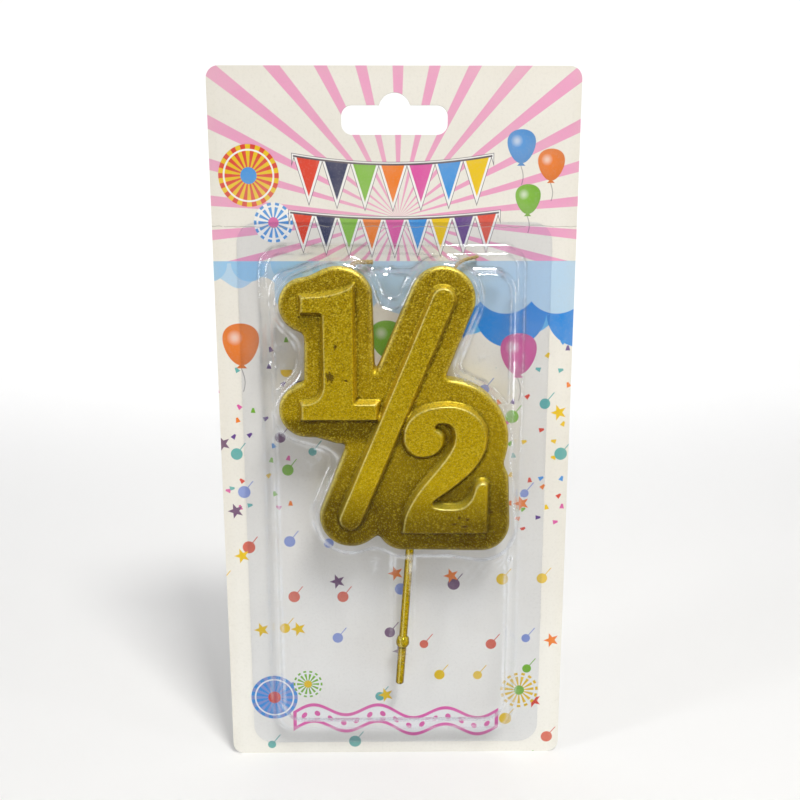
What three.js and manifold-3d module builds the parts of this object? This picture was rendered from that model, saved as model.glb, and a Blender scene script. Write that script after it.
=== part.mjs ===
// A half birthday candle, the figures 1, / and 2 on one plaque, in its hanging retail pack:
// a printed backing card, a clear thermoformed blister sealed to it, and between them the candle,
// a wax casting with two cotton wicks and a pick that goes into the cake.
//
// Sizes are in millimetres. The pack is drawn lying on its back, with X to the right, Y up the
// card and Z towards the viewer, and the last lines stand it up, so that it faces -Y with +Z up.
// Its origin is the top of the hang slot, on the front face of the card, where a peg carries it.

import * as THREE from 'three';
import { mergeVertices } from 'three/addons/utils/BufferGeometryUtils.js';
import Module from 'manifold-3d';

// Backing card
const cardWidth = 105;
const cardHeight = 210;
const cardThickness = 0.5;
const cardCorner = 3.5;

// Hang slot: a straight slot with a round hump in the middle of its top edge
const slotWidth = 30;
const slotHeight = 8;
const slotCorner = 3;
const slotBelowCardTop = 10.4;
const humpRadius = 4.5;
const humpRise = 3.4;

// Blister: a sealed flange, a low tray, a higher one on it, and the pocket that follows the candle
const sealGap = 0.05;
const blisterWall = 0.4;
const flangeWidth = 91;
const flangeHeight = 163.6;
const flangeAboveCardBottom = 4;
const flangeCorner = 6;
const trayOffCentre = -0.7;
const lowTrayWidth = 77.5;
const lowTrayHeight = 152.7;
const lowTrayRise = 4;
const lowTrayDraft = 2.4;
const lowTrayCorner = 7;
const lowTrayAboveFlangeEdge = 4.5;
const highTrayWidth = 71.5;
const highTrayHeight = 141;
const highTrayRise = 7.5;
const highTrayDraft = 1.3;
const highTrayCorner = 7.5;
const highTrayAboveLowTray = 5.3;
const pocketHeadroom = 0.7;
const pocketRoofGap = 0.6;
const pocketDraft = 2;
const pocketFillet = 5;
const notchBridgeRadius = 3;
const notchBridgeTop = 67.2;
const notchBridgeLength = 12;
const notchBridgeX = -2.7;
const channelX = 2.2;
const channelWidth = 8.6;
const channelRise = 1.5;
const channelDraft = 1.2;
const channelPastBead = 3;
const formingRadius = 0.8;

// Wax body: Y = 0 is its lowest edge, and X = 0 is the middle of the card
const candleAboveCardBottom = 72.1;
const candleBackGap = 0.3;
const plaqueThickness = 9.2;
const plaqueFrontRadius = 1.3;
const plaqueBackRadius = 0.6;
const plaqueFillet = 1.6;
const relief = 3;
const reliefDraft = 0.9;

// Figure 1: a stem with a flag at its top and a slab under it
const oneStemCentre = -15.9;
const oneStemWidth = 8.2;
const oneBase = 40;
const oneHeight = 37.3;
const oneSlabLeft = -26.3;
const oneSlabRight = -5.3;
const oneSlabHeight = 4.3;
const oneFlagLeft = -26;
const oneFlagTop = 74.3;
const oneFlagHeight = 4.2;
const oneBracket = 6;
const oneMargin = 5.8;
const oneFlagInset = 1;
const oneSlabInset = 0.8;

// Slash: a bar with round ends
const slashFoot = new THREE.Vector2(-13, 10.5);
const slashHead = new THREE.Vector2(13.4, 73.7);
const slashWidth = 6;
const slashMargin = 6.4;

// Figure 2, with its bowl in shares of its width and height
const twoLeft = 2.3;
const twoWidth = 24.1;
const twoBase = 6.4;
const twoHeight = 37.3;
const twoMargin = 6.3;
const twoFootRadius = 8;
const twoFootInset = 1;
const twoSerifHeight = 14;
const twoBowlAcross = 0.53;
const twoBowlUp = 0.72;
const twoBowlRadius = 0.48;

// Wicks: braided cotton, cast into the wax under the 1 and along the slash
const wickRadius = 0.7;
const wickBoreClearance = 0.2;
const wickHeight = 3.4;
const wickOneX = -12.6;
const wickOneDepth = 36;
const wickOneInEdge = 0.8;
const wickOneBend = [[0.4, 1.3, 3.1], [1.7, 1.9, 2.2], [3.8, 1.9, 1.6], [6.2, 1.9, 1.2]];
const wickOneSteps = 24;
const wickSlashDepth = 60;
const wickSlashBend = [[0.9, 1.3, 2.9], [2.7, 2.3, 2.1], [5, 3, 1.5], [7.3, 3.5, 1.2]];
const wickSlashSteps = 36;
const castEndGap = 0.5;

// Pick: a round stick with a stop bead, cast into the wax and leaning a little
const pickRadius = 1.25;
const pickX = 4.4;
const pickLean = THREE.MathUtils.degToRad(4.1);
const pickCastLength = 24;
const pickFreeLength = 44.9;
const pickChamfer = 0.25;
const pickBoreClearance = 0.2;
const beadRadius = 2;
const beadLength = 3.2;
const beadBelowPlaque = 31;

// Steps of the curves, and how far a cutter or a raised figure starts inside the wax or the card
const outlineStep = 1.2;
const outlineTurn = THREE.MathUtils.degToRad(7);
const curveSteps = 8;
const wickSides = 12;
const pickSides = 24;
const overlap = 1;

// Heights and levels that follow from the sizes above
const cardTop = slotBelowCardTop - humpRise;
const cardBottom = cardTop - cardHeight;
const slotTop = cardTop - slotBelowCardTop;
const candleBottom = cardBottom + candleAboveCardBottom;
const plaqueBack = candleBackGap;
const plaqueFront = plaqueBack + plaqueThickness;
const plaqueMiddle = plaqueBack + plaqueThickness / 2;
const figureFace = plaqueFront + relief;
const roofInside = figureFace + pocketHeadroom;
const roofOutside = roofInside + blisterWall;

const wasm = await Module();
wasm.setup();

// Solids and closed geometries

function toSolid(geometry) {
  const bare = geometry.clone();
  bare.deleteAttribute('normal');
  bare.deleteAttribute('uv');
  const merged = mergeVertices(bare, 1e-5);
  return new wasm.Manifold(new wasm.Mesh({
    numProp: 3,
    vertProperties: new Float32Array(merged.attributes.position.array),
    triVerts: new Uint32Array(merged.index.array),
  }));
}

function toGeometry(solid) {
  const { vertProperties, triVerts } = solid.getMesh();
  const geometry = new THREE.BufferGeometry();
  geometry.setAttribute('position', new THREE.BufferAttribute(vertProperties, 3));
  geometry.setIndex(new THREE.BufferAttribute(triVerts, 1));
  geometry.computeVertexNormals();
  return geometry;
}

// A solid with rings of one outline, each at a height and drawn in by an inset along its normals
function loftSolid(outline, rings) {
  const positions = [];
  for (const { height, inset } of rings) {
    for (const { point, normal } of outline) {
      positions.push(point.x - normal.x * inset, point.y - normal.y * inset, height);
    }
  }
  const count = outline.length;
  const indices = [];
  for (let ring = 0; ring < rings.length - 1; ring += 1) {
    for (let i = 0; i < count; i += 1) {
      const a = ring * count + i;
      const b = ring * count + (i + 1) % count;
      indices.push(a, b, b + count, a, b + count, a + count);
    }
  }
  const capAt = (ring, flip) => {
    const first = ring * count;
    const contour = outline.map((_, i) => new THREE.Vector2(
      positions[3 * (first + i)], positions[3 * (first + i) + 1]));
    for (const [a, b, c] of THREE.ShapeUtils.triangulateShape(contour, [])) {
      indices.push(first + a, first + (flip ? c : b), first + (flip ? b : c));
    }
  };
  capAt(0, true);
  capAt(rings.length - 1, false);
  const geometry = new THREE.BufferGeometry();
  geometry.setAttribute('position', new THREE.Float32BufferAttribute(positions, 3));
  geometry.setIndex(indices);
  return toSolid(geometry);
}

// A round rod along a curve
function rodSolid(curve, radius, steps) {
  const section = new THREE.Shape();
  section.absarc(0, 0, radius, 0, 2 * Math.PI);
  return toSolid(new THREE.ExtrudeGeometry(section, {
    steps,
    curveSegments: wickSides / 2,
    extrudePath: curve,
    bevelEnabled: false,
  }));
}

// How far the middle of a quarter round lies from the sides it joins, as a share of its radius
const halfRound = 1 - Math.SQRT1_2;

// Outlines, anticlockwise, as points with outward normals

function rectangleOutline(width, height, corner, centreX, bottom) {
  const outline = [];
  const corners = [
    [width / 2 - corner, corner, -Math.PI / 2],
    [width / 2 - corner, height - corner, 0],
    [corner - width / 2, height - corner, Math.PI / 2],
    [corner - width / 2, corner, Math.PI],
  ];
  for (const [x, y, start] of corners) {
    for (let i = 0; i <= curveSteps; i += 1) {
      const angle = start + (Math.PI / 2) * (i / curveSteps);
      const normal = new THREE.Vector2(Math.cos(angle), Math.sin(angle));
      const point = new THREE.Vector2(centreX + x, bottom + y).addScaledVector(normal, corner);
      outline.push({ point, normal });
    }
  }
  return outline;
}

// How far a point lies outside a stroke, which is a straight line with a radius round it
function distanceToStroke(point, { from, to, radius }) {
  const along = to.clone().sub(from);
  const length = along.lengthSq();
  const share = length > 0 ? point.clone().sub(from).dot(along) / length : 0;
  const nearest = from.clone().addScaledVector(along, THREE.MathUtils.clamp(share, 0, 1));
  return point.distanceTo(nearest) - radius;
}

// How far a point lies outside strokes that are joined with soft fillets
function distanceToStrokes(point, strokes, fillet) {
  return strokes
    .map((stroke) => distanceToStroke(point, stroke))
    .reduce((a, b) => Math.min(a, b) - Math.max(fillet - Math.abs(a - b), 0) ** 2 / (4 * fillet));
}

// The line that runs a margin outside joined strokes, found by walking round them
function strokesOutline(strokes, fillet, margin) {
  const probe = 0.02;
  const settleSteps = 6;
  const distance = (x, y) => distanceToStrokes(new THREE.Vector2(x, y), strokes, fillet) - margin;
  const outwardAt = ({ x, y }) => new THREE.Vector2(
    distance(x + probe, y) - distance(x - probe, y),
    distance(x, y + probe) - distance(x, y - probe)).normalize();
  const settle = (point) => {
    for (let i = 0; i < settleSteps; i += 1) {
      point.addScaledVector(outwardAt(point), -distance(point.x, point.y));
    }
    return { point, normal: outwardAt(point) };
  };
  const lowest = strokes.reduce((a, b) => (a.from.y - a.radius < b.from.y - b.radius ? a : b));
  const start = settle(new THREE.Vector2(lowest.from.x, lowest.from.y - lowest.radius));
  const outline = [start];
  let here = start;
  let walked = 0;
  let kept = start;
  do {
    const ahead = new THREE.Vector2(-here.normal.y, here.normal.x);
    here = settle(here.point.clone().addScaledVector(ahead, outlineStep));
    walked += outlineStep;
    const turned = Math.abs(kept.normal.angleTo(here.normal));
    if (turned > outlineTurn) {
      outline.push(here);
      kept = here;
    }
  } while (walked < 4 * outlineStep || here.point.distanceTo(start.point) > outlineStep);
  return outline;
}

// Figures on the plaque

const oneTop = oneBase + oneHeight;
const slabMiddle = oneBase + oneSlabHeight / 2;
const flagMiddle = oneFlagTop - oneFlagHeight / 2;

function oneShape() {
  const stemLeft = oneStemCentre - oneStemWidth / 2;
  const stemRight = oneStemCentre + oneStemWidth / 2;
  const slabTop = oneBase + oneSlabHeight;
  const shape = new THREE.Shape();
  shape.moveTo(oneSlabLeft, oneBase);
  shape.lineTo(oneSlabRight, oneBase);
  shape.lineTo(oneSlabRight, slabTop);
  shape.lineTo(stemRight, slabTop);
  shape.lineTo(stemRight, oneTop);
  shape.quadraticCurveTo(stemRight - oneStemWidth / 2, oneFlagTop, oneFlagLeft, oneFlagTop);
  shape.lineTo(oneFlagLeft, oneFlagTop - oneFlagHeight);
  shape.lineTo(stemLeft, oneFlagTop - oneFlagHeight);
  shape.lineTo(stemLeft, slabTop + oneBracket);
  shape.quadraticCurveTo(stemLeft, slabTop, oneSlabLeft, slabTop);
  return shape;
}

function slashShape() {
  const radius = slashWidth / 2;
  const direction = slashHead.clone().sub(slashFoot).angle();
  const shape = new THREE.Shape();
  shape.absarc(slashHead.x, slashHead.y, radius, direction - Math.PI / 2, direction + Math.PI / 2);
  shape.absarc(slashFoot.x, slashFoot.y, radius, direction + Math.PI / 2, direction + 1.5 * Math.PI);
  return shape;
}

// The 2 is drawn in shares of its width and height: a foot with a raised serif, a stroke that
// swings up into the bowl, and a ball at the bowl's left end
function twoShape() {
  const at = (u, v) => [twoLeft + u * twoWidth, twoBase + v * twoHeight];
  const shape = new THREE.Shape();
  const line = (u, v) => shape.lineTo(...at(u, v));
  const curve = (...pairs) => shape.bezierCurveTo(...pairs.flatMap(([u, v]) => at(u, v)));
  shape.moveTo(...at(0, 0));
  line(1, 0);
  line(1, 0.37);
  curve([1, 0.41], [0.9, 0.41], [0.87, 0.36]);
  curve([0.83, 0.24], [0.74, 0.19], [0.6, 0.19]);
  curve([0.5, 0.19], [0.44, 0.195], [0.38, 0.205]);
  curve([0.33, 0.212], [0.33, 0.245], [0.37, 0.265]);
  curve([0.6, 0.375], [0.98, 0.52], [0.98, 0.745]);
  curve([0.98, 0.9], [0.78, 1], [0.53, 1]);
  curve([0.22, 1], [0.01, 0.92], [0.01, 0.76]);
  curve([0.01, 0.67], [0.1, 0.61], [0.23, 0.61]);
  curve([0.37, 0.61], [0.47, 0.67], [0.47, 0.745]);
  curve([0.47, 0.78], [0.43, 0.8], [0.39, 0.81]);
  curve([0.35, 0.82], [0.36, 0.87], [0.42, 0.873]);
  curve([0.54, 0.88], [0.62, 0.85], [0.62, 0.76]);
  curve([0.62, 0.61], [0.28, 0.45], [0.11, 0.25]);
  curve([0.03, 0.16], [0, 0.1], [0, 0]);
  return shape;
}

// Strokes of the plaque: each part of the figures with its margin round it
const flat = (x, y) => new THREE.Vector2(x, y);
const slashRadius = slashWidth / 2 + slashMargin;
const twoBowl = flat(twoLeft + twoBowlAcross * twoWidth, twoBase + twoBowlUp * twoHeight);
const twoCorner = flat(twoLeft + twoWidth - twoFootInset, twoFootRadius);
const plaqueStrokes = [
  { from: flat(oneStemCentre, slabMiddle),
    to: flat(oneStemCentre, oneTop - oneStemWidth / 2),
    radius: oneStemWidth / 2 + oneMargin },
  { from: flat(oneFlagLeft + oneFlagInset, flagMiddle),
    to: flat(oneStemCentre, flagMiddle),
    radius: oneFlagHeight / 2 + oneMargin },
  { from: flat(oneSlabLeft + oneSlabInset, slabMiddle),
    to: flat(oneSlabRight, slabMiddle),
    radius: oneSlabHeight / 2 + oneMargin },
  { from: slashFoot, to: slashHead, radius: slashRadius },
  { from: twoBowl, to: twoBowl, radius: twoBowlRadius * twoWidth + twoMargin },
  { from: flat(twoLeft, twoFootRadius),
    to: twoCorner,
    radius: twoFootRadius },
  { from: twoCorner,
    to: flat(twoCorner.x, twoBase + twoSerifHeight),
    radius: twoFootRadius },
];

// Paths of the wicks, from their lower ends in the wax to their free ends. Outside the wax they
// bend to the right and back, and lie behind the edge of the low tray. An extra length makes the
// bore a little deeper than its wick.

function wickCurve(inner, exit, bend) {
  return new THREE.CatmullRomCurve3([
    ...inner.map(({ x, y }) => new THREE.Vector3(x, y, wickHeight)),
    new THREE.Vector3(exit.x, exit.y, wickHeight),
    ...bend.map(([x, y, height]) => new THREE.Vector3(exit.x + x, exit.y + y, height)),
  ]);
}

function wickOneCurve(extra) {
  const exit = flat(wickOneX, oneTop + oneMargin - wickOneInEdge);
  const end = flat(exit.x, exit.y - wickOneDepth - extra);
  const middle = flat(exit.x, exit.y - wickOneDepth / 2);
  return wickCurve([end, middle], exit, wickOneBend);
}

function wickSlashCurve(extra) {
  const along = slashHead.clone().sub(slashFoot).normalize();
  const below = (depth) => slashHead.clone().addScaledVector(along, slashRadius - depth);
  const inner = [below(wickSlashDepth + extra), below(wickSlashDepth / 2)];
  return wickCurve(inner, below(0), wickSlashBend);
}

// Pieces

function cardGeometry() {
  const left = -cardWidth / 2;
  const right = cardWidth / 2;
  const shape = new THREE.Shape();
  shape.absarc(right - cardCorner, cardBottom + cardCorner, cardCorner, -Math.PI / 2, 0);
  shape.absarc(right - cardCorner, cardTop - cardCorner, cardCorner, 0, Math.PI / 2);
  shape.absarc(left + cardCorner, cardTop - cardCorner, cardCorner, Math.PI / 2, Math.PI);
  shape.absarc(left + cardCorner, cardBottom + cardCorner, cardCorner, Math.PI, 1.5 * Math.PI);
  const slot = new THREE.Path();
  const slotEnd = slotWidth / 2 - slotCorner;
  const slotBottom = slotTop - slotHeight;
  const humpCentre = -humpRadius;
  const humpStart = Math.asin((slotTop - humpCentre) / humpRadius);
  slot.absarc(-slotEnd, slotTop - slotCorner, slotCorner, Math.PI, Math.PI / 2, true);
  slot.absarc(0, humpCentre, humpRadius, Math.PI - humpStart, humpStart, true);
  slot.absarc(slotEnd, slotTop - slotCorner, slotCorner, Math.PI / 2, 0, true);
  slot.absarc(slotEnd, slotBottom + slotCorner, slotCorner, 0, -Math.PI / 2, true);
  slot.absarc(-slotEnd, slotBottom + slotCorner, slotCorner, 1.5 * Math.PI, Math.PI, true);
  shape.holes.push(slot);
  const geometry = new THREE.ExtrudeGeometry(shape, {
    depth: cardThickness, curveSegments: curveSteps, bevelEnabled: false });
  return geometry.translate(0, 0, -cardThickness);
}

// A formed step of the blister: walls that lean in, and a rounded edge round a flat top. The
// outer skin is drawn with no wall, and the inner one a wall inside it and open at the back.
function formedSolid(outline, rise, draft, wall) {
  const top = rise - wall;
  const half = halfRound * formingRadius;
  const rings = [
    { height: sealGap, inset: wall },
    { height: top - formingRadius, inset: wall + draft },
    { height: top - half, inset: wall + draft + half },
    { height: top, inset: wall + draft + formingRadius },
  ];
  if (wall > 0) {
    rings.unshift({ height: -overlap, inset: wall });
  }
  return loftSolid(outline, rings);
}

function blisterGeometry() {
  const flangeBottom = cardBottom + flangeAboveCardBottom;
  const lowTrayBottom = flangeBottom + lowTrayAboveFlangeEdge;
  const highTrayBottom = lowTrayBottom + highTrayAboveLowTray;
  const raised = (outline) => outline.map(({ point, normal }) => (
    { point: new THREE.Vector2(point.x, point.y + candleBottom), normal }));
  const flange = rectangleOutline(flangeWidth, flangeHeight, flangeCorner, 0, flangeBottom);
  const lowTray = rectangleOutline(
    lowTrayWidth, lowTrayHeight, lowTrayCorner, trayOffCentre, lowTrayBottom);
  const highTray = rectangleOutline(
    highTrayWidth, highTrayHeight, highTrayCorner, trayOffCentre, highTrayBottom);
  const bridge = {
    from: flat(notchBridgeX, notchBridgeTop - notchBridgeLength),
    to: flat(notchBridgeX, notchBridgeTop),
    radius: notchBridgeRadius };
  const pocket = raised(strokesOutline(
    [...plaqueStrokes, bridge], pocketFillet, pocketRoofGap + blisterWall + pocketDraft));
  const channelLength = beadBelowPlaque + beadLength / 2 + channelPastBead;
  const channel = raised(strokesOutline([{
    from: flat(channelX, channelWidth / 2 - channelLength),
    to: flat(channelX, twoFootRadius),
    radius: channelWidth / 2 }], formingRadius, 0));
  const skin = (wall) => formedSolid(lowTray, lowTrayRise, lowTrayDraft, wall)
    .add(formedSolid(highTray, highTrayRise, highTrayDraft, wall))
    .add(formedSolid(channel, highTrayRise + channelRise, channelDraft, wall))
    .add(formedSolid(pocket, roofOutside, pocketDraft, wall));
  const sheet = loftSolid(flange, [
    { height: sealGap, inset: 0 }, { height: sealGap + blisterWall, inset: 0 }]);
  return toGeometry(sheet.add(skin(0)).subtract(skin(blisterWall)));
}

function figureSolid(shape) {
  const geometry = new THREE.ExtrudeGeometry(shape, {
    depth: overlap,
    curveSegments: curveSteps,
    bevelThickness: relief,
    bevelSize: reliefDraft,
    bevelSegments: 1,
  });
  return toSolid(geometry.translate(0, 0, plaqueFront - overlap));
}

function waxGeometry() {
  const plaque = loftSolid(strokesOutline(plaqueStrokes, plaqueFillet, 0), [
    { height: plaqueBack, inset: plaqueBackRadius },
    { height: plaqueBack + plaqueBackRadius, inset: 0 },
    { height: plaqueFront - plaqueFrontRadius, inset: 0 },
    { height: plaqueFront - halfRound * plaqueFrontRadius, inset: halfRound * plaqueFrontRadius },
    { height: plaqueFront, inset: plaqueFrontRadius },
  ]);
  const pickBoreRadius = pickRadius + pickBoreClearance;
  const pickBoreTop = pickCastLength + castEndGap;
  const pickBore = new THREE.CylinderGeometry(
    pickBoreRadius, pickBoreRadius, pickBoreTop + overlap, pickSides);
  pickBore.translate(0, (pickBoreTop - overlap) / 2, 0);
  pickBore.rotateZ(-pickLean);
  pickBore.translate(pickX, 0, plaqueMiddle);
  const wickBoreRadius = wickRadius + wickBoreClearance;
  return toGeometry(plaque
    .add(figureSolid(oneShape()))
    .add(figureSolid(slashShape()))
    .add(figureSolid(twoShape()))
    .subtract(toSolid(pickBore))
    .subtract(rodSolid(wickOneCurve(castEndGap), wickBoreRadius, wickOneSteps))
    .subtract(rodSolid(wickSlashCurve(castEndGap), wickBoreRadius, wickSlashSteps)));
}

function pickGeometry() {
  const profile = [
    new THREE.Vector2(0, -pickFreeLength),
    new THREE.Vector2(pickRadius - pickChamfer, -pickFreeLength),
    new THREE.Vector2(pickRadius, pickChamfer - pickFreeLength),
  ];
  for (let i = 0; i <= curveSteps; i += 1) {
    const angle = Math.PI * (i / curveSteps);
    profile.push(new THREE.Vector2(
      pickRadius + (beadRadius - pickRadius) * Math.sin(angle),
      -beadBelowPlaque - (beadLength / 2) * Math.cos(angle)));
  }
  profile.push(
    new THREE.Vector2(pickRadius, pickCastLength - pickChamfer),
    new THREE.Vector2(pickRadius - pickChamfer, pickCastLength),
    new THREE.Vector2(0, pickCastLength));
  return toGeometry(toSolid(new THREE.LatheGeometry(profile, pickSides)));
}

function piece(name, geometry, color, roughness, metalness = 0, opacity = 1) {
  const material = new THREE.MeshStandardMaterial({
    color, roughness, metalness, opacity, transparent: opacity < 1 });
  const mesh = new THREE.Mesh(geometry, material);
  mesh.name = name;
  return mesh;
}

const pick = piece('pick', pickGeometry(), '#b09030', 0.4, 0.6);
pick.position.set(pickX, 0, plaqueMiddle);
pick.rotation.z = -pickLean;

const wickOneSolid = rodSolid(wickOneCurve(0), wickRadius, wickOneSteps);
const wickSlashSolid = rodSolid(wickSlashCurve(0), wickRadius, wickSlashSteps);

const candle = new THREE.Group();
candle.position.y = candleBottom;
candle.add(
  piece('wax_body', waxGeometry(), '#a98b2c', 0.4, 0.6),
  piece('wick_one', toGeometry(wickOneSolid), '#e6dcc0', 0.9),
  piece('wick_slash', toGeometry(wickSlashSolid), '#e6dcc0', 0.9),
  pick);

const pack = new THREE.Group();
pack.add(
  piece('backing_card', cardGeometry(), '#f3efe8', 0.7),
  piece('blister_shell', blisterGeometry(), '#e4ebef', 0.1, 0, 0.3),
  candle);
pack.rotation.x = Math.PI / 2;

export default pack;
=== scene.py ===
"""Looks of a half birthday candle in its hanging pack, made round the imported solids.

Sizes are millimetres in the row frame: X to the right, Y away from the viewer and Z up, with the
card's front face at Y = 0 and the top of its hang slot at Z = 0. Meshes are made in metres.
"""

import math

import bmesh
import bpy
import numpy as np
from mathutils import Matrix, Vector, noise


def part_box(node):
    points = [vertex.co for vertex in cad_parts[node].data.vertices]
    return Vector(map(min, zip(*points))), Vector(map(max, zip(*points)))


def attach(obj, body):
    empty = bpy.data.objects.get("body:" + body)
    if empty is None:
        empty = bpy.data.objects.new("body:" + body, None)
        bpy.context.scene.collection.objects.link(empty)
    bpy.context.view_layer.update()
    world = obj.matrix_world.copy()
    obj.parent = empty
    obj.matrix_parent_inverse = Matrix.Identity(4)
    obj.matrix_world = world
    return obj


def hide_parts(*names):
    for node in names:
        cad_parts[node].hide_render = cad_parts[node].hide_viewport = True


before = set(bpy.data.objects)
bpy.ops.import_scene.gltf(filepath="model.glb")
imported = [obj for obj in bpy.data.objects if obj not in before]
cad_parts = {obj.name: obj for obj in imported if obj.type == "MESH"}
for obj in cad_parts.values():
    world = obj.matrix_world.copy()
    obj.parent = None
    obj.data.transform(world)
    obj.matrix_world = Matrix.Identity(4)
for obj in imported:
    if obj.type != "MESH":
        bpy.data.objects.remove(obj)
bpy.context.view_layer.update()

MM = 0.001
SCENE = bpy.context.scene

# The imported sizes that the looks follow
CARD_BOTTOM, CARD_THICKNESS = -203.0, 0.5
SEAL_GAP, SHEET, ROOF = 0.05, 0.4, 13.6
FLANGE_WIDTH, FLANGE_HEIGHT, FLANGE_BOTTOM, FLANGE_CORNER = 91.0, 163.6, -199.0, 6.0
CANDLE_BOTTOM, PLAQUE_MIDDLE, WICK_HEIGHT = -130.9, 4.9, 3.4


class Signal:
    """One output of a material's nodes. Python's operators on it add Math nodes."""

    def __init__(self, tree, socket=None):
        self.tree = tree
        self.socket = socket

    def node(self, kind, settings=None, inputs=None, output=0):
        """Adds a node, sets its settings, then the values or links of its sockets."""
        made = self.tree.nodes.new("ShaderNode" + kind)
        for name, value in (settings or {}).items():
            if name == "stops":
                set_stops(made.color_ramp, value)
            else:
                setattr(made, name, value)
        for key, value in (inputs or {}).items():
            if isinstance(value, Signal):
                self.tree.links.new(value.socket, made.inputs[key])
            else:
                made.inputs[key].default_value = value
        return Signal(self.tree, made.outputs[output])

    def math(self, operation, *others):
        """A Math node on this signal and others."""
        return self.node("Math", {"operation": operation}, dict(enumerate((self, *others))))

    def clamped(self):
        """This signal kept between 0 and 1."""
        return self.node("Clamp", None, {0: self})

    def __add__(self, other):
        return self.math("ADD", other)

    def __sub__(self, other):
        return self.math("SUBTRACT", other)

    def __rsub__(self, other):
        return self.node("Math", {"operation": "SUBTRACT"}, {0: other, 1: self})

    def __mul__(self, other):
        return self.math("MULTIPLY", other)

    def __truediv__(self, other):
        return self.math("DIVIDE", other)

    def __and__(self, other):
        return self.math("MINIMUM", other)

    def __or__(self, other):
        return self.math("MAXIMUM", other)

    def __abs__(self):
        return self.math("ABSOLUTE")

    def __neg__(self):
        return self.math("MULTIPLY", -1.0)

    def __gt__(self, other):
        return self.math("GREATER_THAN", other)

    def __lt__(self, other):
        return self.math("LESS_THAN", other)

    __radd__ = __add__
    __rmul__ = __mul__


def set_stops(ramp, stops):
    """Sets a colour ramp from a list: its interpolation, then its (position, colour) stops."""
    ramp.interpolation = stops[0]
    for _ in stops[3:]:
        ramp.elements.new(0.5)
    for element, (position, colour) in zip(ramp.elements, stops[1:]):
        element.position = position
        element.color = colour


def paint(red, green, blue):
    """A colour as printed, in 0 to 255, as the linear colour a shader takes."""
    def linear(value):
        share = value / 255
        return share / 12.92 if share <= 0.04045 else ((share + 0.055) / 1.055) ** 2.4

    return (linear(red), linear(green), linear(blue), 1.0)


def node_of(tree, kind):
    """The node of a type that a new tree comes with."""
    return next(node for node in tree.nodes if node.type == kind)


def finish(name):
    """A new material, a signal to start its nodes from, and a call that feeds its shader."""
    material = bpy.data.materials.new(name)
    material.use_nodes = True
    tree = material.node_tree
    shader = node_of(tree, "BSDF_PRINCIPLED")

    def feed(socket, value):
        if isinstance(value, Signal):
            tree.links.new(value.socket, shader.inputs[socket])
        else:
            shader.inputs[socket].default_value = value

    return material, Signal(tree), feed


def position_of(start):
    """The object coordinates in millimetres."""
    metres = start.node("TexCoord", output="Object")
    return start.node("VectorMath", {"operation": "SCALE"}, {"Vector": metres, "Scale": 1 / MM})


def parts_of(signal, kind="XYZ"):
    """The X, Y and Z of a vector, or with "Color" the red, green and blue of a colour."""
    split = signal.node("Separate" + kind, None, {0: signal}).socket.node
    return [Signal(signal.tree, output) for output in split.outputs[:3]]


def over(below, colour, mask):
    """A colour laid over another where a mask is 1."""
    start = mask if isinstance(mask, Signal) else below
    return start.node(
        "Mix", {"data_type": "RGBA"}, {0: mask, 6: below, 7: colour}, output=2)


def cloudy(vector, scale, detail=2.0, output=0):
    """Soft noise of this many cells to a millimetre, about 0.5 in the middle."""
    return vector.node(
        "TexNoise", None, {"Vector": vector, "Scale": scale, "Detail": detail}, output)


def bumped(start, height, strength, distance):
    """A normal from a height, with the depth of its relief in millimetres."""
    return start.node("Bump", None, {
        "Strength": strength, "Distance": distance * MM, "Height": height})


# Printed card

EDGE = 0.12
RED, NAVY, GREEN = paint(226, 74, 52), paint(34, 42, 88), paint(128, 190, 46)
ORANGE, PINK, BLUE = paint(244, 130, 36), paint(226, 92, 168), paint(64, 152, 226)
YELLOW, PURPLE, TEAL = paint(240, 200, 24), paint(104, 66, 142), paint(104, 180, 176)
CORAL, LILAC, PLUM = paint(222, 112, 92), paint(140, 158, 218), paint(118, 80, 118)
WHITE, INK, RIBBON = paint(250, 249, 246), paint(96, 84, 92), paint(232, 100, 176)
CARD, LOW_CARD, RAY = paint(241, 237, 227), paint(250, 248, 240), paint(240, 166, 200)
SKY, DEEP_SKY = paint(100, 184, 238), paint(46, 140, 222)
PALE_SKY, UPPER_SKY = paint(188, 216, 238), paint(158, 204, 238)
SOIL, STAIN, CREASE = paint(214, 204, 176), paint(222, 216, 204), paint(176, 170, 158)
GRAIN, SHADE = paint(190, 186, 178), paint(0, 0, 0)
BOARD, BOARD_FIBRE = paint(196, 190, 178), paint(176, 168, 152)

# The header: its lower edge, and the fan of rays on it, which is drawn out sideways
HEADER_FOOT = -46.4
FAN_CENTRE, FAN_COUNT, FAN_SHARE, FAN_STRETCH = (0.85, -34.2), 30, 0.3, 1.176

# Rosettes: centre, radius, pleats and colours
ROSETTES = (
    ((-41.5, -22.5), 8.6, 18, (RED, YELLOW, BLUE)),
    ((-34.8, -35.5), 5.6, 14, (BLUE, WHITE, PINK)),
    ((-38.8, -183.5), 7.4, 16, (BLUE, LILAC, RED)),
    ((-28.0, -179.0), 4.6, 14, (GREEN, WHITE, YELLOW)),
    ((39.5, -181.5), 6.0, 15, (YELLOW, WHITE, GREEN)))

# Balloons: middle, half width and colour
BALLOONS = (
    ((36.0, -14.5), 3.9, BLUE), ((44.6, -19.5), 3.7, ORANGE), ((38.2, -29.0), 3.5, GREEN),
    ((-45.4, -70.5), 5.2, ORANGE), ((36.6, -73.5), 5.2, PINK), ((-2.5, -69.0), 4.6, GREEN),
    ((-27.6, -86.5), 4.4, PURPLE))

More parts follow.
